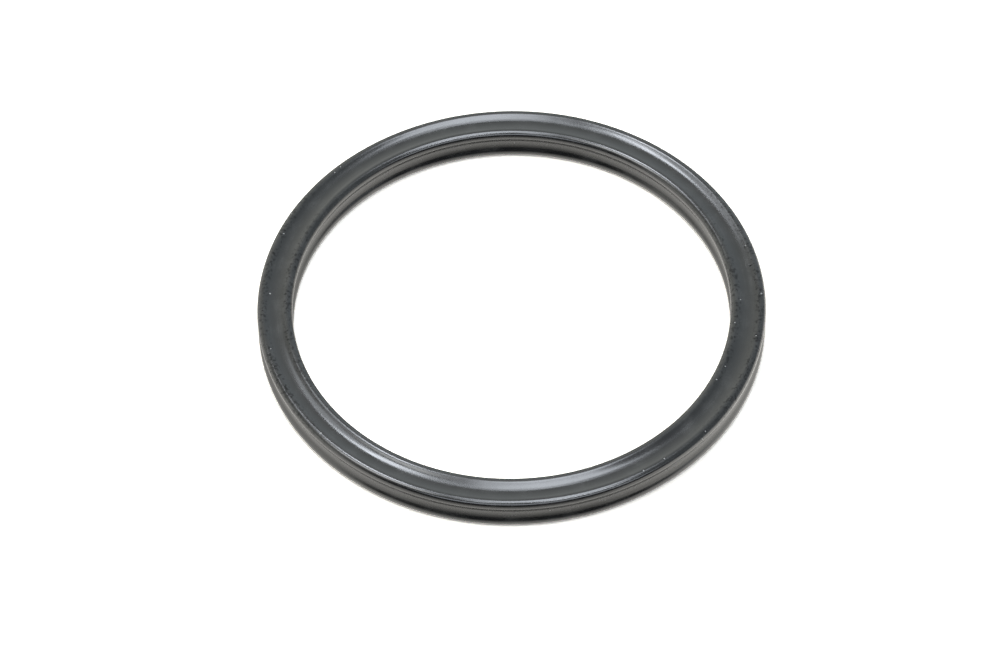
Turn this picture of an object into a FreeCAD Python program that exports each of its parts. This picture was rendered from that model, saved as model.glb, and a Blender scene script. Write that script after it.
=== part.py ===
import FreeCAD, Part
import math
import os

import Sketcher

# A quad ring: one moulded rubber ring whose square section has a round lobe at each corner and
# a valley along each side, shallower on the flat faces than round the inside and the outside.
# Millimetres, +Z up along the ring's axis, with the origin at the middle of the ring, halfway
# up its section.

NODE = "quad_ring"

# The sizes that such a ring is made to. Each stands in a cell of the sheet under its own name.
DIMENSIONS = {
    "inside_diameter": 66.04,
    "section_width": 5.33,
    "lobe_radius": 0.9,
    "face_valley_depth": 0.4,
    "side_valley_depth": 0.6,
}

# Sketcher's numbers for the ends and the centre of an arc, for the origin and for the level axis
ARC_START, ARC_END, CENTRE = 1, 2, 3
ORIGIN = (-1, 1)
LEVEL_AXIS = -1

CORNERS = 4
QUARTER_TURN = math.pi / 2

# The valleys in the order they are drawn: upper face, inside, lower face, outside
VALLEY_KINDS = ("face", "side", "face", "side")


def make_sheet(doc):
    """Put each driving dimension into a cell of its own, with its name as the alias."""
    sheet = doc.addObject("Spreadsheet::Sheet", "Sizes")
    for row, (name, value) in enumerate(DIMENSIONS.items(), start=1):
        sheet.set(f"A{row}", name)
        sheet.set(f"B{row}", str(value))
        sheet.setAlias(f"B{row}", name)
    doc.recompute()
    return sheet


def make_sketch(body, name):
    """Start a sketch on the body's upright plane, which holds the ring's axis."""
    sketch = body.newObject("Sketcher::SketchObject", name)
    upright = next(plane for plane in body.Origin.OriginFeatures if plane.Role == "XZ_Plane")
    sketch.AttachmentSupport = [(upright, "")]
    sketch.MapMode = "FlatFace"
    return sketch


def arc(across, up, radius, start, end):
    """An arc about the given centre, drawn anticlockwise between two angles."""
    centre = FreeCAD.Vector(across, up, 0)
    circle = Part.Circle(centre, FreeCAD.Vector(0, 0, 1), radius)
    return Part.ArcOfCircle(circle, start, end)


def section_sizes(sheet):
    """Work out the section's arcs from the driving dimensions.

    A valley's radius is the one at which it meets both of its lobes smoothly and dips below
    them by its own depth.
    """
    lobe = sheet.lobe_radius
    reach = sheet.section_width / 2 - lobe
    middle = (sheet.inside_diameter + sheet.section_width) / 2
    size = {"lobe": lobe, "reach": reach, "middle": middle}
    depths = {"face": sheet.face_valley_depth, "side": sheet.side_valley_depth}
    for kind, depth in depths.items():
        hollow = (reach**2 + depth**2 - 2 * lobe * depth) / (2 * depth)
        size[kind] = {
            "hollow": hollow,
            "out": sheet.section_width / 2 - depth + hollow,
            "slope": math.asin(reach / (hollow + lobe)),
        }
    return size


def draw_section(sketch, size):
    """Draw four lobes and the four valleys between them, and return both lists of arcs.

    Corner 0 is the outer upper lobe, and the others follow anticlockwise. Each valley lies
    after its lobe, so the first valley runs along the upper face.
    """
    lobes, valleys = [], []
    for corner, kind in enumerate(VALLEY_KINDS):
        turn = corner * QUARTER_TURN
        diagonal = turn + QUARTER_TURN / 2
        across = size["middle"] + size["reach"] * math.copysign(1, math.cos(diagonal))
        up = size["reach"] * math.copysign(1, math.sin(diagonal))
        before, after = size[VALLEY_KINDS[corner - 1]], size[kind]
        start, end = turn - before["slope"], turn + QUARTER_TURN + after["slope"]
        lobes.append(sketch.addGeometry(arc(across, up, size["lobe"], start, end)))

        outward = turn + QUARTER_TURN
        across = size["middle"] + after["out"] * math.cos(outward)
        up = after["out"] * math.sin(outward)
        start, end = outward + math.pi - after["slope"], outward + math.pi + after["slope"]
        valleys.append(sketch.addGeometry(arc(across, up, after["hollow"], start, end)))
    return lobes, valleys


def join_section(sketch, lobes, valleys):
    """Make each valley run smoothly into the lobes beside it, with like arcs alike."""
    for corner in range(CORNERS):
        following = lobes[(corner + 1) % CORNERS]
        # A valley bends the other way, so the lobe before it meets the valley's last end.
        for lobe, lobe_end, valley_end in (
            (lobes[corner], ARC_END, ARC_END),
            (following, ARC_START, ARC_START),
        ):
            smooth = Sketcher.Constraint("Tangent", lobe, lobe_end, valleys[corner], valley_end)
            sketch.addConstraint(smooth)
    face_valleys, side_valleys = valleys[0::2], valleys[1::2]
    for alike in (lobes, face_valleys, side_valleys):
        for other in alike[1:]:
            sketch.addConstraint(Sketcher.Constraint("Equal", alike[0], other))


def place_section(sketch, lobes):
    """Set the lobe centres level with each other and evenly above and below the middle."""
    outer_upper, inner_upper, inner_lower, outer_lower = lobes
    for upper, lower in ((outer_upper, outer_lower), (inner_upper, inner_lower)):
        even = Sketcher.Constraint("Symmetric", upper, CENTRE, lower, CENTRE, LEVEL_AXIS)
        sketch.addConstraint(even)
    level = Sketcher.Constraint("Horizontal", outer_upper, CENTRE, inner_upper, CENTRE)
    sketch.addConstraint(level)


def size_section(sketch, size, lobes, valleys):
    """Tie every size of the section to the sheet."""
    outer_upper, inner_upper, _, outer_lower = lobes
    reach = "(Sizes.section_width / 2 - Sizes.lobe_radius)"
    inner_out = "Sizes.inside_diameter / 2 + Sizes.lobe_radius"
    hollow = {}
    for valley in ("face", "side"):
        depth = f"Sizes.{valley}_valley_depth"
        rise = f"{reach}^2 + {depth}^2 - 2 * Sizes.lobe_radius * {depth}"
        hollow[valley] = f"({rise}) / (2 * {depth})"
    for name, kind, ends, drawn, formula in (
        ("lobe", "Radius", (outer_upper,), size["lobe"], "Sizes.lobe_radius"),
        ("face_hollow", "Radius", (valleys[0],), size["face"]["hollow"], hollow["face"]),
        ("side_hollow", "Radius", (valleys[1],), size["side"]["hollow"], hollow["side"]),
        ("inner_lobe_out", "DistanceX", (*ORIGIN, inner_upper, CENTRE),
         size["middle"] - size["reach"], inner_out),
        ("lobes_apart", "DistanceX", (inner_upper, CENTRE, outer_upper, CENTRE),
         2 * size["reach"], f"2 * {reach}"),
        ("lobes_above", "DistanceY", (outer_lower, CENTRE, outer_upper, CENTRE),
         2 * size["reach"], f"2 * {reach}"),
    ):
        index = sketch.addConstraint(Sketcher.Constraint(kind, *ends, drawn))
        sketch.renameConstraint(index, name)
        sketch.setExpression(f"Constraints.{name}", formula)


def make_ring(doc, sheet):
    """Turn the four-lobed section once about the axis to make the ring."""
    body = doc.addObject("PartDesign::Body", "Ring")
    body.Label = NODE
    section = make_sketch(body, "Section")
    size = section_sizes(sheet)
    lobes, valleys = draw_section(section, size)
    join_section(section, lobes, valleys)
    place_section(section, lobes)
    size_section(section, size, lobes, valleys)
    section.Visibility = False

    moulding = body.newObject("PartDesign::Revolution", "Moulding")
    moulding.Profile = section
    moulding.ReferenceAxis = (section, ["V_Axis"])
    moulding.Angle = 360
    body.Placement = FreeCAD.Placement()
    return body


def check(doc, bodies):
    """Stop if any object failed or any solid isn't sound."""
    for item in doc.Objects:
        if "Invalid" in item.State or "Error" in item.State:
            raise RuntimeError(f"{item.Name} failed: {item.State}")
    for body in bodies:
        shape = body.Shape
        if shape.isNull() or not shape.isValid() or len(shape.Solids) != 1:
            raise RuntimeError(f"{body.Label} isn't one sound solid")


def main():
    """Build the ring, check it and write it out."""
    doc = FreeCAD.newDocument("quad_ring")
    sheet = make_sheet(doc)
    bodies = [make_ring(doc, sheet)]
    doc.recompute()
    check(doc, bodies)
    os.makedirs("parts", exist_ok=True)
    for body in bodies:
        body.Shape.exportStep(f"parts/{body.Label}.step")
        box = body.Shape.optimalBoundingBox()
        print(f"{body.Label}: {box.XLength:.3f} x {box.YLength:.3f} x {box.ZLength:.3f} mm,"
              f" {body.Shape.Volume:.2f} cubic mm, {len(body.Shape.Faces)} faces")


main()
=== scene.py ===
"""A quad ring of black rubber on a pale floor, under soft overhead light.

Metres, +Z up along the ring's axis, with the origin at the middle of the ring.
"""

import logging
import math
from dataclasses import dataclass, field
from enum import Enum

import bmesh
import bpy
from mathutils import Matrix, Quaternion, Vector


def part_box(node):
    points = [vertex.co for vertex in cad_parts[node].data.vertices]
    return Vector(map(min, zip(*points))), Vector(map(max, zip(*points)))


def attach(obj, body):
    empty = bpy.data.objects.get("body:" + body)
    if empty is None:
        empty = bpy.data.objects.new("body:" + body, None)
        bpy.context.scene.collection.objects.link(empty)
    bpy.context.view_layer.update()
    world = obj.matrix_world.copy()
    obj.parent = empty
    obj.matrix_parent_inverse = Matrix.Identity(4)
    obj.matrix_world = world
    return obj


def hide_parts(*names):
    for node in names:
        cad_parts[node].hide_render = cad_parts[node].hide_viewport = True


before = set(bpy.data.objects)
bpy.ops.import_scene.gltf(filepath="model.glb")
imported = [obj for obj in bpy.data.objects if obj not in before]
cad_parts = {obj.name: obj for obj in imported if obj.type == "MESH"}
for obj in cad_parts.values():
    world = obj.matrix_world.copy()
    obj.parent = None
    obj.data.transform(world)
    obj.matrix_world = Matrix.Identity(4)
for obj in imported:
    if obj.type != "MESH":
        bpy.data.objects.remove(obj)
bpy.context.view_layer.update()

NODE = "quad_ring"
BODY = "root"

MM = 0.001
MERGE_WITHIN = 0.0009 * MM
QUARTER_TURN = math.pi / 2
FULL_TURN = 2 * math.pi
UP = Vector((0, 0, 1))
OUT_OF_SECTION = (0, -1, 0)

log = logging.getLogger("quad_ring")


class Lobe(Enum):
    """The four lobes of the section, in order round it from the outer upper one."""

    OUTER_UPPER = 0
    INNER_UPPER = 1
    INNER_LOWER = 2
    OUTER_LOWER = 3


@dataclass(frozen=True)
class Section:
    """The ring's section: a square with a round lobe at each corner and a valley on each side.

    Args:
        outer_radius: The ring's outer radius.
        width: The section's width, which is also its height.
        lobe_radius: The radius of each lobe.
        face_depth: How far the valleys in the flat faces dip below the lobes beside them.
        side_depth: How far the valleys round the inside and the outside dip.
    """

    outer_radius: float
    width: float
    lobe_radius: float = 0.9 * MM
    face_depth: float = 0.4 * MM
    side_depth: float = 0.6 * MM

    @property
    def middle(self) -> float:
        """The radius at the middle of the section."""
        return self.outer_radius - self.width / 2

    @property
    def reach(self) -> float:
        """How far each lobe's centre lies from the section's middle, along and up."""
        return self.width / 2 - self.lobe_radius

    def depth(self, lobe: Lobe) -> float:
        """How far the valley after a lobe dips.

        Args:
            lobe: The lobe before the valley, going round from the outer upper one.

        Returns:
            The valley's depth.
        """
        on_face = lobe in (Lobe.OUTER_UPPER, Lobe.INNER_LOWER)
        return self.face_depth if on_face else self.side_depth

    def hollow_radius(self, lobe: Lobe) -> float:
        """The radius at which the valley after a lobe meets both of its lobes smoothly.

        Args:
            lobe: The lobe before the valley.

        Returns:
            The valley's radius.
        """
        depth = self.depth(lobe)
        return (self.reach**2 + depth**2 - 2 * self.lobe_radius * depth) / (2 * depth)

    def slope(self, lobe: Lobe) -> float:
        """The angle at which the valley after a lobe meets its lobes.

        Args:
            lobe: The lobe before the valley.

        Returns:
            The angle.
        """
        return math.asin(self.reach / (self.hollow_radius(lobe) + self.lobe_radius))

    def lobe_centre(self, lobe: Lobe) -> Vector:
        """Where a lobe's centre lies in the section at the right of the ring.

        Args:
            lobe: Which lobe.

        Returns:
            The centre, in the upright plane through the ring's axis.
        """
        diagonal = (lobe.value + 0.5) * QUARTER_TURN
        across = math.copysign(self.reach, math.cos(diagonal))
        above = math.copysign(self.reach, math.sin(diagonal))
        return Vector((self.middle + across, 0, above))

    def hollow_centre(self, lobe: Lobe) -> Vector:
        """Where the centre of the valley after a lobe lies.

        Args:
            lobe: The lobe before the valley.

        Returns:
            The centre, in the upright plane through the ring's axis.
        """
        out = self.width / 2 - self.depth(lobe) + self.hollow_radius(lobe)
        outward = (lobe.value + 1) * QUARTER_TURN
        return Vector((self.middle + out * math.cos(outward), 0, out * math.sin(outward)))


class Wiring:
    """Adds nodes to a shader and joins them, so that a finish reads as its own steps."""

    def __init__(self, tree: bpy.types.NodeTree) -> None:
        """Start with an empty tree.

        Args:
            tree: The node tree to fill.
        """
        self.tree = tree
        tree.nodes.clear()

    def node(self, kind: str, **settings: object) -> bpy.types.Node:
        """Add a node.

        Args:
            kind: The node's type name, after "ShaderNode".
            settings: Values for the node's own properties.

        Returns:
            The new node.
        """
        made = self.tree.nodes.new("ShaderNode" + kind)
        for name, value in settings.items():
            setattr(made, name, value)
        return made

    def feed(self, socket: bpy.types.NodeSocket, value: object) -> None:
        """Link a socket to another node's output, or set it to a plain value.

        Args:
            socket: The socket to fill.
            value: An output socket, a number, a vector or a colour.
        """
        if isinstance(value, bpy.types.NodeSocket):
            self.tree.links.new(value, socket)
        else:
            socket.default_value = value

    def maths(self, operation: str, first: object, second: object = 0.0) -> bpy.types.NodeSocket:
        """Work out one sum.

        Args:
            operation: The sum, such as "ADD".
            first: The first number.
            second: The second number, where the sum has one.

        Returns:
            The result.
        """
        made = self.node("Math", operation=operation)
        self.feed(made.inputs[0], first)
        self.feed(made.inputs[1], second)
        return made.outputs[0]

    def ramp(self, value: object, low: float, high: float, start: float = 0.0,
             end: float = 1.0) -> bpy.types.NodeSocket:
        """Ease a value from start to end as it goes from low to high.

        Args:
            value: The number to follow.
            low: Where the ease begins.
            high: Where the ease ends.
            start: The result up to low.
            end: The result from high on.

        Returns:
            The eased value.
        """
        made = self.node("MapRange", interpolation_type="SMOOTHSTEP")
        for name, number in (("Value", value), ("From Min", low), ("From Max", high),
                             ("To Min", start), ("To Max", end)):
            self.feed(made.inputs[name], number)
        return made.outputs["Result"]

    def vector(self, across: object, along: object, up: object) -> bpy.types.NodeSocket:
        """Join three numbers into a vector.

        Args:
            across: The first part.
            along: The second part.
            up: The third part.

        Returns:
            The vector.
        """
        made = self.node("CombineXYZ")
        for socket, value in zip(made.inputs, (across, along, up)):
            self.feed(socket, value)
        return made.outputs[0]

    def split(self, place: object) -> tuple[bpy.types.NodeSocket, ...]:
        """Part a vector into its three numbers.

        Args:
            place: The vector.

        Returns:
            Its parts, in order.
        """
        made = self.node("SeparateXYZ")
        self.feed(made.inputs[0], place)
        return tuple(made.outputs)

    def distance(self, across: object, along: object) -> bpy.types.NodeSocket:
        """Measure a level distance from its two parts.

        Args:
            across: The part to the right.
            along: The part to the rear.

        Returns:
            The distance.
        """
        squares = [(self.maths("POWER", part, 2.0), 1.0) for part in (across, along)]
        return self.maths("SQRT", self.sum(0.0, *squares))

    def noise(self, place: object, scale: float, detail: float = 2.0,
              roughness: float = 0.5, fourth: object = 0.0) -> bpy.types.NodeSocket:
        """Read a noise pattern.

        Args:
            place: Where it is read.
            scale: How fine it is.
            detail: How many finer layers it has.
            roughness: How strong the finer layers are.
            fourth: The fourth part of the place, for a pattern that closes on itself.

        Returns:
            The noise, less its middle value.
        """
        made = self.node("TexNoise", noise_dimensions="4D")
        self.feed(made.inputs["Vector"], place)
        self.feed(made.inputs["W"], fourth)
        made.inputs["Scale"].default_value = scale
        made.inputs["Detail"].default_value = detail
        made.inputs["Roughness"].default_value = roughness
        return self.maths("SUBTRACT", made.outputs["Fac"], 0.5)

    def sum(self, start: object, *terms: tuple[object, float]) -> bpy.types.NodeSocket:
        """Add up terms, each with its own weight.

        Args:
            start: What the sum starts from.
            terms: Pairs of a value and its weight.

        Returns:
            The sum.
        """
        total = start
        for value, weight in terms:
            total = self.maths("ADD", self.maths("MULTIPLY", value, weight), total)
        return total


@dataclass(frozen=True)
class Surface:
    """Where on the ring the shader works, read off the object's own coordinates.

    Args:
        point: The place as a whole.
        across: How far right it lies.
        along: How far to the rear it lies.
        up: How high it lies.
        out: How far it lies from the ring's axis.
    """

    point: bpy.types.NodeSocket
    across: bpy.types.NodeSocket
    along: bpy.types.NodeSocket
    up: bpy.types.NodeSocket
    out: bpy.types.NodeSocket

    @classmethod
    def read(cls, wires: Wiring) -> "Surface":
        """Read the place.

        Args:
            wires: The shader to read it in.

        Returns:
            The place.
        """
        point = wires.node("TexCoord").outputs["Object"]
        across, along, up = wires.split(point)
        return cls(point, across, along, up, wires.distance(across, along))


@dataclass(frozen=True)
class Spot:
    """A small mark on the ring's upper side.

    Args:
        turn: How far round the ring it lies, in degrees from the right.
        out: How far it lies from the axis.
        size: Its radius.
        core: The share of its radius within which it is full.
    """

    turn: float
    out: float
    size: float = 0.13 * MM
    core: float = 0.4

    def mask(self, wires: Wiring, at: Surface) -> bpy.types.NodeSocket:
        """Mark the spot.

        Args:
            wires: The shader that the mark is made in.
            at: The place on the surface.

        Returns:
            1 in the spot, falling to 0 round it.
        """
        bearing = math.radians(self.turn)
        across = wires.maths("SUBTRACT", at.across, self.out * math.cos(bearing))
        along = wires.maths("SUBTRACT", at.along, self.out * math.sin(bearing))
        distance = wires.distance(across, along)
        return wires.ramp(distance, self.size * self.core, self.size, 1.0, 0.0)


@dataclass(frozen=True)
class FineLines:
    """The fine lines that run along the ring.

    Args:
        pitch: How far apart they are, across the skin.
        depth: How deep they are.
        run: How fast they come and go along the ring.
        detail: How many finer layers of lines there are.
        harshness: How strong the finer layers are.
    """

    pitch: float = 0.24 * MM
    depth: float = 0.0035 * MM
    run: float = 2.5
    detail: float = 2.0
    harshness: float = 0.6

    def relief(self, wires: Wiring, at: Surface) -> bpy.types.NodeSocket:
        """Draw the lines.

        The pattern is read along a circle, so that it closes on itself after one turn.

        Args:
            wires: The shader that they are drawn in.
            at: The place on the surface.

        Returns:
            The lines' relief, about 0.
        """
        right, rear = (wires.maths("MULTIPLY", wires.maths("DIVIDE", part, at.out), self.run)
                       for part in (at.across, at.along))
        out, up = (wires.maths("MULTIPLY", part, 1 / self.pitch) for part in (at.out, at.up))
        return wires.noise(wires.vector(out, up, right), 1.0, self.detail, self.harshness, rear)


@dataclass(frozen=True)
class Pits:
    """The small dull pits in the upper lobes, at the ring's left and right.

    Args:
        pitch: How far apart they are.
        depth: How deep they are.
        shade: How much duller they are than the skin round them.
        detail: How many finer layers of pits there are.
        edge: The height of the pattern at which a pit begins, and at which it is fully deep.
        sideways: How far to the left and right of the ring's middle they begin, and where
            there are most.
        off_middle: How far in and out from the section's middle they begin, and where there
            are most.
        crest: The height at which there are most.
    """

    pitch: float = 0.40 * MM
    depth: float = 0.003 * MM
    shade: float = 0.65
    detail: float = 2.0
    edge: tuple[float, float] = (0.0, 0.14)
    sideways: tuple[float, float] = (24.0 * MM, 35.0 * MM)
    off_middle: tuple[float, float] = (0.8 * MM, 1.4 * MM)
    crest: float = 1.9 * MM

    def mask(self, wires: Wiring, at: Surface, middle: float) -> bpy.types.NodeSocket:
        """Mark the pits.

        Args:
            wires: The shader that the mark is made in.
            at: The place on the surface.
            middle: The radius at the middle of the ring's section.

        Returns:
            1 in a pit, falling to 0 round it.
        """
        pits = wires.ramp(wires.noise(at.point, 1 / self.pitch, self.detail), *self.edge)
        worn = wires.ramp(wires.maths("ABSOLUTE", at.across), *self.sideways)
        aside = wires.maths("ABSOLUTE", wires.maths("SUBTRACT", at.out, middle))
        on_lobe = wires.ramp(aside, *self.off_middle)
        on_top = wires.ramp(at.up, 0.0, self.crest)
        for share in (worn, on_lobe, on_top):
            pits = wires.maths("MULTIPLY", pits, share)
        return pits


@dataclass(frozen=True)
class RubberFinish:
    """Black moulded rubber with a satin skin, fine lines along the ring and a little dust.

    Args:
        middle: The radius at the middle of the ring's section.
        colour: The rubber's own colour.
        refraction: The skin's index of refraction.
        gloss: The skin's specular level.
        roughness: How far the skin spreads what it mirrors.
        side_roughness: The same at the middle of the inner and outer sides.
        side_height: How far up and down the sides reach.
        uneven: How much the roughness varies from patch to patch.
        grainy: How much it varies from grain to grain.
        patch_pitch: How far apart the more and the less matt patches are.
        grain_pitch: How far apart the skin's fine grains are.
        grain_depth: How deep they are.
        lines: The fine lines along the ring.
        pits: The small pits in the lobes.
        nick: Where the nick in the upper face is.
        nick_depth: How deep it is.
        nick_shade: How much duller it is than the skin round it.
        film: How much the thin film of dust covers where it is thickest.
        film_shares: How far the film follows the grains, the lines and the patches.
        dust: Where the specks of dust lie.
        dust_colour: The colour of the specks and of the film.
        dust_roughness: How much rougher the specks are than the skin.
    """

    middle: float
    colour: tuple[float, float, float] = (0.0106, 0.0110, 0.0111)
    refraction: float = 1.585
    gloss: float = 1.0
    roughness: float = 0.185
    side_roughness: float = 0.27
    side_height: float = 1.9 * MM
    uneven: float = 0.12
    grainy: float = 0.03
    patch_pitch: float = 3.0 * MM
    grain_pitch: float = 0.30 * MM
    grain_depth: float = 0.0008 * MM
    lines: FineLines = FineLines()
    pits: Pits = Pits()
    nick: Spot = Spot(9.8, 36.8 * MM, 0.26 * MM)
    nick_depth: float = 0.10 * MM
    nick_shade: float = 0.85
    film: float = 0.26
    film_shares: tuple[float, float, float] = (0.6, 0.5, 0.8)
    dust: tuple[Spot, ...] = (
        Spot(176.6, 36.5 * MM, 0.18 * MM),
        Spot(221.0, 37.6 * MM, 0.20 * MM),
        Spot(134.1, 37.5 * MM),
        Spot(136.3, 37.3 * MM),
        Spot(152.1, 37.9 * MM),
        Spot(158.4, 37.2 * MM),
        Spot(193.4, 37.1 * MM),
        Spot(15.8, 37.1 * MM),
        Spot(1.0, 37.7 * MM, 0.18 * MM),
        Spot(359.4, 34.5 * MM),
        Spot(351.7, 33.8 * MM),
        Spot(348.5, 37.3 * MM),
        Spot(337.5, 34.3 * MM),
        Spot(332.7, 34.1 * MM),
        Spot(318.3, 37.9 * MM),
        Spot(316.6, 38.3 * MM),
        Spot(306.2, 37.4 * MM),
        Spot(300.4, 37.5 * MM),
    )
    dust_colour: tuple[float, float, float] = (0.30, 0.30, 0.29)
    dust_roughness: float = 0.4

    def material(self) -> bpy.types.Material:
        """Build the finish.

        Returns:
            The finished material.
        """
        made = bpy.data.materials.new("black_rubber")
        made.use_nodes = True
        wires = Wiring(made.node_tree)
        at = Surface.read(wires)
        lines = self.lines.relief(wires, at)
        pits = self.pits.mask(wires, at, self.middle)
        grain = wires.noise(at.point, 1 / self.grain_pitch)
        patches = wires.noise(at.point, 1 / self.patch_pitch, detail=1.0)
        on_top = wires.maths("GREATER_THAN", at.up, self.side_height)
        nick = wires.maths("MULTIPLY", self.nick.mask(wires, at), on_top)
        dust = wires.maths("MULTIPLY", self.specks(wires, at), on_top)

        skin = wires.node("BsdfPrincipled")
        skin.inputs["IOR"].default_value = self.refraction
        gloss = wires.sum(self.gloss, (pits, -self.pits.shade), (nick, -self.nick_shade))
        wires.feed(skin.inputs["Specular IOR Level"], wires.maths("MAXIMUM", gloss, 0.0))

        film = wires.sum(0.0, *zip((grain, lines, patches), self.film_shares))
        film = wires.maths("MULTIPLY", wires.maths("MAXIMUM", film, 0.0), self.film)
        cover = wires.maths("MAXIMUM", film, dust)
        shades = [wires.sum(rubber, (cover, grey - rubber))
                  for rubber, grey in zip(self.colour, self.dust_colour)]
        wires.feed(skin.inputs["Base Color"], wires.vector(*shades))

        spread = wires.ramp(wires.maths("ABSOLUTE", at.up), 0.0, self.side_height,
                            self.side_roughness, self.roughness)
        spread = wires.sum(spread, (patches, self.uneven), (grain, self.grainy),
                           (dust, self.dust_roughness))
        wires.feed(skin.inputs["Roughness"], wires.maths("MAXIMUM", spread, self.roughness / 2))

        relief = wires.node("Bump")
        relief.inputs["Strength"].default_value = 1.0
        relief.inputs["Distance"].default_value = 1.0
        height = wires.sum(0.0, (lines, self.lines.depth), (grain, self.grain_depth),
                           (pits, -self.pits.depth), (nick, -self.nick_depth))
        wires.feed(relief.inputs["Height"], height)
        wires.feed(skin.inputs["Normal"], relief.outputs["Normal"])
        out = wires.node("OutputMaterial")
        wires.feed(out.inputs["Surface"], skin.outputs["BSDF"])
        return made

    def specks(self, wires: Wiring, at: Surface) -> bpy.types.NodeSocket:
        """Mark all the specks of dust.

        Args:
            wires: The shader that the mark is made in.
            at: The place on the surface.

        Returns:
            1 in a speck, falling to 0 round it.
        """
        marked = 0.0
        for speck in self.dust:
            marked = wires.maths("MAXIMUM", marked, speck.mask(wires, at))
        return marked


@dataclass
class QuadRing:
    """The moulded ring.

    Args:
        section: The ring's section.
        finish: The ring's finish.
        lobe_steps: Steps round each lobe.
        valley_steps: Steps along each valley.
        turn_steps: Steps round the ring.
        shares: How many equal shares the ring's turn is made in.
    """

    section: Section
    finish: RubberFinish
    lobe_steps: int = 18
    valley_steps: int = 10
    turn_steps: int = 720
    shares: int = 8

    def draw_section(self, mesh: bmesh.types.BMesh) -> None:
        """Draw the section as one closed loop of edges, from arcs spun about their centres.

        Args:
            mesh: The mesh to draw in.
        """
        section = self.section
        before = section.slope(Lobe.OUTER_LOWER)
        start = Vector((math.cos(-before), 0, math.sin(-before))) * section.lobe_radius
        first = section.lobe_centre(Lobe.OUTER_UPPER)
        tip = bmesh.ops.create_vert(mesh, co=first + start)["vert"]
        for lobe in Lobe:
            after = section.slope(lobe)
            for centre, sweep, steps in (
                (section.lobe_centre(lobe), before + QUARTER_TURN + after, self.lobe_steps),
                (section.hollow_centre(lobe), -2 * after, self.valley_steps),
            ):
                spun = bmesh.ops.spin(mesh, geom=tip, cent=centre, axis=OUT_OF_SECTION,
                                      angle=sweep, steps=steps, use_merge=False)
                tip = [part for part in spun["geom_last"] if isinstance(part, bmesh.types.BMVert)]
            before = after
        bmesh.ops.remove_doubles(mesh, verts=mesh.verts, dist=MERGE_WITHIN)

    def turn_section(self, mesh: bmesh.types.BMesh) -> None:
        """Turn the section once round the ring's axis, with the faces pointing outwards.

        One share of the turn is spun, and the other shares are copies of it, turned on.

        Args:
            mesh: The mesh that holds the section.
        """
        share = FULL_TURN / self.shares
        bmesh.ops.spin(mesh, geom=[*mesh.verts, *mesh.edges], cent=(0, 0, 0), axis=UP,
                       angle=share, steps=self.turn_steps // self.shares, use_merge=False)
        spun = [*mesh.verts, *mesh.edges, *mesh.faces]
        for turned in range(1, self.shares):
            copied = bmesh.ops.duplicate(mesh, geom=spun)["geom"]
            corners = [part for part in copied if isinstance(part, bmesh.types.BMVert)]
            bmesh.ops.rotate(mesh, verts=corners, cent=(0, 0, 0),
                             matrix=Matrix.Rotation(turned * share, 3, UP))
        bmesh.ops.remove_doubles(mesh, verts=mesh.verts, dist=MERGE_WITHIN)
        bmesh.ops.recalc_face_normals(mesh, faces=mesh.faces)
        for face in mesh.faces:
            face.smooth = True

    def build(self) -> bpy.types.Object:
        """Make the ring's mesh and dress it.

        Returns:
            The finished piece.
        """
        mesh = bmesh.new()
        self.draw_section(mesh)
        self.turn_section(mesh)
        data = bpy.data.meshes.new("moulded_ring")
        mesh.to_mesh(data)
        mesh.free()
        data.materials.append(self.finish.material())
        piece = bpy.data.objects.new("moulded_ring", data)
        bpy.context.scene.collection.objects.link(piece)
        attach(piece, BODY)
        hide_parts(NODE)
        return piece


@dataclass(frozen=True)
class Softbox:
    """One overhead panel, given by how it looks from the ring.

    Args:
        name: The panel's name.
        across: How far right it lies, as a share of its height.
        away: How far behind the ring it lies, as a share of its height.
        width: Its width, as a share of its height.
        length: Its length, as a share of its height.
        turn: How far its length is turned to the left, in degrees.
        glow: Its brightness, where 1 is white.
        tint: Its colour.
    """

    name: str
    across: float
    away: float
    width: float
    length: float
    turn: float
    glow: float
    tint: tuple[float, float, float] = (0.95, 1.0, 1.08)

    def build(self, height: float) -> bpy.types.Object:
        """Hang the panel.

        Args:
            height: How high it hangs over the ring.

        Returns:
            The lamp.
        """
        lamp = bpy.data.lights.new(self.name, "AREA")
        lamp.shape = "RECTANGLE"
        lamp.size = self.width * height
        lamp.size_y = self.length * height
        lamp.color = self.tint
        lamp.energy = self.glow * math.pi * lamp.size * lamp.size_y
        hung = bpy.data.objects.new(self.name, lamp)
        hung.location = (self.across * height, self.away * height, height)
        hung.rotation_euler = (0, 0, math.radians(self.turn))
        bpy.context.scene.collection.objects.link(hung)
        return hung


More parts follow.
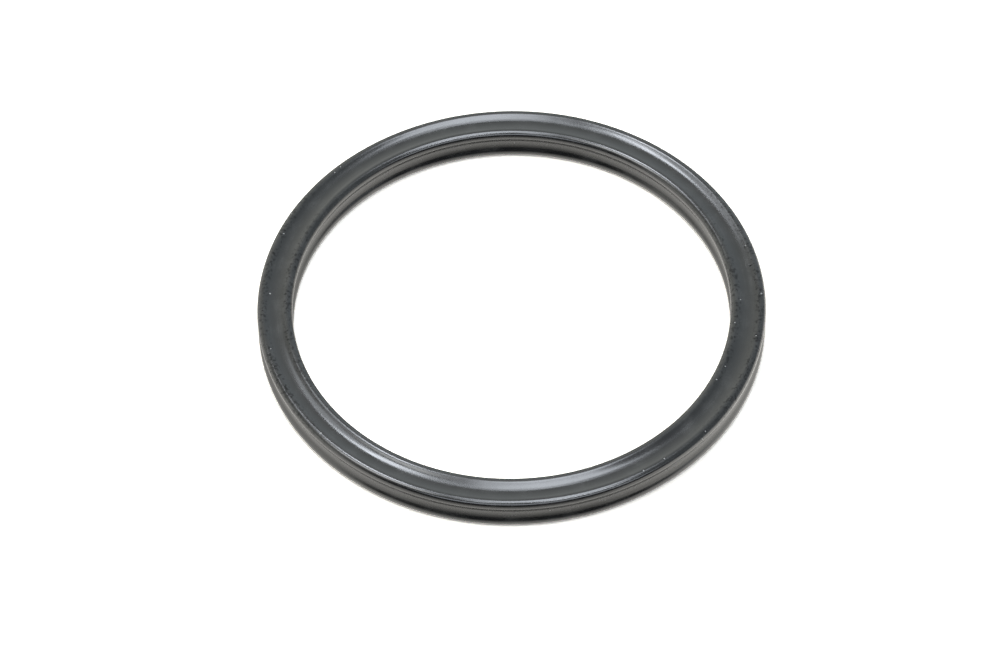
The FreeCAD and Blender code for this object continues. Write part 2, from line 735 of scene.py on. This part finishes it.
@dataclass(frozen=True)
class RoomLight:
    """The pale room round the ring, lit at the sides and the rear and dark at the front.

    Args:
        glow: The room's brightness all round, where 1 is white.
        left_glow: How much brighter it is at the far left.
        right_glow: How much brighter it is at the far right.
        rear_glow: How much brighter it is at the far rear.
        high_rear_glow: How much brighter still it is at the rear, halfway up.
        low_glow: How much brighter it is near the floor.
        low_left_glow: How much brighter still near the floor at the far left.
        fade: How fast the light near the floor fades with height.
        dark_up_to: How far forward the dark front ends, as a share of the view's length.
        lit_from: Where the full brightness begins, in the same way.
        left_tint: The light's colour at the left.
        right_tint: Its colour at the right.
        tint_reach: How far to either side each colour is reached, as a share of the view's
            length.
    """

    glow: float = 0.22
    left_glow: float = 0.19
    right_glow: float = 0.07
    rear_glow: float = 0.25
    high_rear_glow: float = 0.75
    low_glow: float = 0.27
    low_left_glow: float = 0.94
    fade: float = 4.0
    dark_up_to: float = -0.68
    lit_from: float = -0.22
    left_tint: tuple[float, float, float] = (1.0, 1.015, 0.95)
    right_tint: tuple[float, float, float] = (0.91, 1.01, 1.07)
    tint_reach: float = 0.7

    def build(self) -> None:
        """Set the room's light as the scene's own."""
        room = bpy.data.worlds.new("pale_room")
        room.use_nodes = True
        wires = Wiring(room.node_tree)
        across, away, up = wires.split(wires.node("TexCoord").outputs["Generated"])
        left = wires.maths("MAXIMUM", wires.maths("MULTIPLY", across, -1.0), 0.0)
        right = wires.maths("MAXIMUM", across, 0.0)
        rear = wires.maths("MAXIMUM", away, 0.0)
        far_rear = wires.maths("MULTIPLY", rear, rear)
        high_rear = wires.maths("MULTIPLY", far_rear, wires.maths("MAXIMUM", up, 0.0))
        low = wires.maths("EXPONENT", wires.maths("MULTIPLY", up, -self.fade))
        low_level = wires.sum(self.low_glow, (left, self.low_left_glow))
        near_floor = wires.maths("MULTIPLY", low, low_level)
        level = wires.sum(near_floor, (left, self.left_glow), (right, self.right_glow),
                          (far_rear, self.rear_glow), (high_rear, self.high_rear_glow))
        level = wires.maths("ADD", level, self.glow)
        lit = wires.ramp(away, self.dark_up_to, self.lit_from)
        glow = wires.node("Background")
        wires.feed(glow.inputs["Strength"], wires.maths("MULTIPLY", level, lit))
        shades = [wires.ramp(across, -self.tint_reach, self.tint_reach, at_left, at_right)
                  for at_left, at_right in zip(self.left_tint, self.right_tint)]
        wires.feed(glow.inputs["Color"], wires.vector(*shades))
        out = wires.node("OutputWorld")
        wires.feed(out.inputs["Surface"], glow.outputs[0])
        bpy.context.scene.world = room


@dataclass
class Studio:
    """The floor, which glows for mirrored rays as a painted reflection, and the light.

    Args:
        floor_level: The height of the floor, which the ring rests on.
        panel_height: How high the overhead panels hang.
        panels: The overhead panels.
        floor_colour: The floor's colour as it lights the ring.
        floor_seen: Its colour as it is seen directly.
        seen_tint: Its tint as it is seen directly.
        mirrored_front: Its brightness as the ring mirrors it to the front or rear, from above
            and at a flat slant.
        mirrored_side: The same to either side.
        floor_slants: The slants between which it goes from the first to the second.
        side_slants: How far from straight sideways counts as the side, and where that ends.
        right_gain: How many times as bright it is mirrored at the right.
        right_span: How far right it begins to brighten, and where it is brightest.
        mirrored_tint: The colour of the floor's painted reflection, the glow it gives off as the
            ring mirrors it.
        floor_size: The floor's width.
    """

    floor_level: float
    panel_height: float = 0.9
    panels: list[Softbox] = field(default_factory=lambda: [
        Softbox("panel_rear", across=-0.248, away=0.316, width=0.126, length=0.387,
                turn=-13.0, glow=9.52),
        Softbox("panel_middle", across=0.120, away=0.042, width=0.322, length=0.461,
                turn=7.6, glow=4.45),
        Softbox("panel_middle_strip", across=-0.060, away=-0.067, width=0.120, length=1.085,
                turn=-12.1, glow=3.20),
        Softbox("panel_left", across=-0.597, away=-0.151, width=0.590, length=0.417,
                turn=-14.3, glow=3.50, tint=(0.98, 1.0, 1.01)),
        Softbox("panel_front", across=0.300, away=-1.233, width=2.350, length=0.788,
                turn=5.4, glow=1.75),
        Softbox("panel_front_strip", across=0.287, away=-0.360, width=0.432, length=0.120,
                turn=18.2, glow=9.94),
        Softbox("panel_far_left", across=-0.500, away=0.403, width=0.343, length=0.450,
                turn=-7.6, glow=1.40),
        Softbox("panel_wide", across=-0.050, away=0.100, width=0.600, length=0.700,
                turn=0.0, glow=0.55),
        Softbox("panel_low_left", across=-0.950, away=-0.320, width=0.550, length=0.600,
                turn=0.0, glow=0.50, tint=(1.0, 1.0, 1.0)),
    ])
    floor_colour: float = 0.85
    floor_seen: float = 1.7
    seen_tint: tuple[float, float, float] = (1.05, 1.0, 0.92)
    mirrored_front: tuple[float, float] = (1.08, 0.27)
    mirrored_side: tuple[float, float] = (1.55, 0.95)
    floor_slants: tuple[float, float] = (0.20, 1.0)
    side_slants: tuple[float, float] = (0.10, 0.64)
    right_gain: float = 1.5
    right_span: tuple[float, float] = (20.0 * MM, 50.0 * MM)
    mirrored_tint: tuple[float, float, float] = (1.0, 0.98, 0.93)
    floor_size: float = 8.0

    def lay_floor(self) -> bpy.types.Object:
        """Lay the floor.

        Returns:
            The floor.
        """
        mesh = bmesh.new()
        bmesh.ops.create_grid(mesh, x_segments=1, y_segments=1, size=self.floor_size / 2)
        bmesh.ops.translate(mesh, verts=mesh.verts, vec=(0, 0, self.floor_level))
        data = bpy.data.meshes.new("pale_floor")
        mesh.to_mesh(data)
        mesh.free()
        data.materials.append(self.floor_paint())
        floor = bpy.data.objects.new("pale_floor", data)
        bpy.context.scene.collection.objects.link(floor)
        return floor

    def floor_paint(self) -> bpy.types.Material:
        """Mix the floor's paint, which is seen as a brighter white than it lights with and glows
        as a painted reflection for mirrored rays.

        Returns:
            The floor's material.
        """
        paint = bpy.data.materials.new("floor_white")
        paint.use_nodes = True
        wires = Wiring(paint.node_tree)
        path = wires.node("LightPath").outputs
        level = wires.ramp(path["Is Camera Ray"], 0.0, 1.0, self.floor_colour, self.floor_seen)
        coat = wires.node("BsdfDiffuse")
        shades = [wires.maths("MULTIPLY", level, share) for share in self.seen_tint]
        wires.feed(coat.inputs["Color"], wires.vector(*shades))
        # The floor glows for mirrored rays only: a painted reflection, brighter at steep slants,
        # to the sides and at the right, that stands in for the floor's lit brightness.
        slant = wires.node("LayerWeight").outputs["Facing"]
        sideways = wires.node("LayerWeight")
        wires.feed(sideways.inputs["Normal"], wires.vector(1.0, 0.0, 0.0))
        near, far = (wires.ramp(sideways.outputs["Facing"], *self.side_slants, to_side, to_front)
                     for to_side, to_front in zip(self.mirrored_side, self.mirrored_front))
        across = wires.split(wires.node("TexCoord").outputs["Object"])[0]
        gain = wires.ramp(across, *self.right_span, 1.0, self.right_gain)
        painted_reflection_glow = wires.node("Emission")
        painted_reflection_glow.inputs["Color"].default_value = (*self.mirrored_tint, 1.0)
        mirrored = wires.ramp(slant, *self.floor_slants, near, far)
        wires.feed(painted_reflection_glow.inputs["Strength"], wires.maths("MULTIPLY", mirrored, gain))
        is_mirrored = wires.maths("MAXIMUM", path["Is Glossy Ray"], path["Is Transmission Ray"])
        both = wires.node("MixShader")
        wires.feed(both.inputs[0], is_mirrored)
        wires.feed(both.inputs[1], coat.outputs[0])
        wires.feed(both.inputs[2], painted_reflection_glow.outputs[0])
        out = wires.node("OutputMaterial")
        wires.feed(out.inputs["Surface"], both.outputs[0])
        return paint

    def build(self) -> None:
        """Lay the floor, light the room and hang the panels."""
        self.lay_floor()
        RoomLight().build()
        for panel in self.panels:
            panel.build(self.panel_height)
            log.info("panel %s", panel.name)


@dataclass(frozen=True)
class PhotoCamera:
    """The camera, placed where the photograph was taken from.

    Args:
        place: Where it stands.
        aim: The point on the ring's middle plane that it looks at.
        roll: How far it is rolled, in degrees.
        lens: Its focal length in millimetres.
        sensor: Its sensor's width in millimetres.
    """

    place: tuple[float, float, float] = (0.0, -0.43254, 0.53975)
    aim: tuple[float, float, float] = (-0.001791, -0.004267, 0.0)
    roll: float = -0.982
    lens: float = 164.76
    sensor: float = 36.0

    def build(self) -> bpy.types.Object:
        """Set up the camera as the scene's own.

        Returns:
            The camera.
        """
        data = bpy.data.cameras.new("photo_camera")
        data.lens = self.lens
        data.sensor_width = self.sensor
        camera = bpy.data.objects.new("photo_camera", data)
        look = Vector(self.aim) - Vector(self.place)
        tilt = Quaternion((0, 0, 1), math.radians(self.roll))
        camera.rotation_mode = "QUATERNION"
        camera.rotation_quaternion = look.to_track_quat("-Z", "Y") @ tilt
        camera.location = self.place
        bpy.context.scene.collection.objects.link(camera)
        bpy.context.scene.camera = camera
        return camera


def main() -> None:
    """Build the ring, the studio and the camera, and report each."""
    logging.basicConfig(level=logging.INFO, format="%(message)s")
    low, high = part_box(NODE)
    section = Section(outer_radius=high.x, width=high.z - low.z)
    ring = QuadRing(section, RubberFinish(section.middle)).build()
    log.info("%s: %d faces", ring.name, len(ring.data.polygons))
    Studio(floor_level=low.z).build()
    PhotoCamera().build()
    log.info("camera and studio ready")
    bpy.context.scene.view_settings.view_transform = "Standard"


if __name__ == "__main__":
    main()
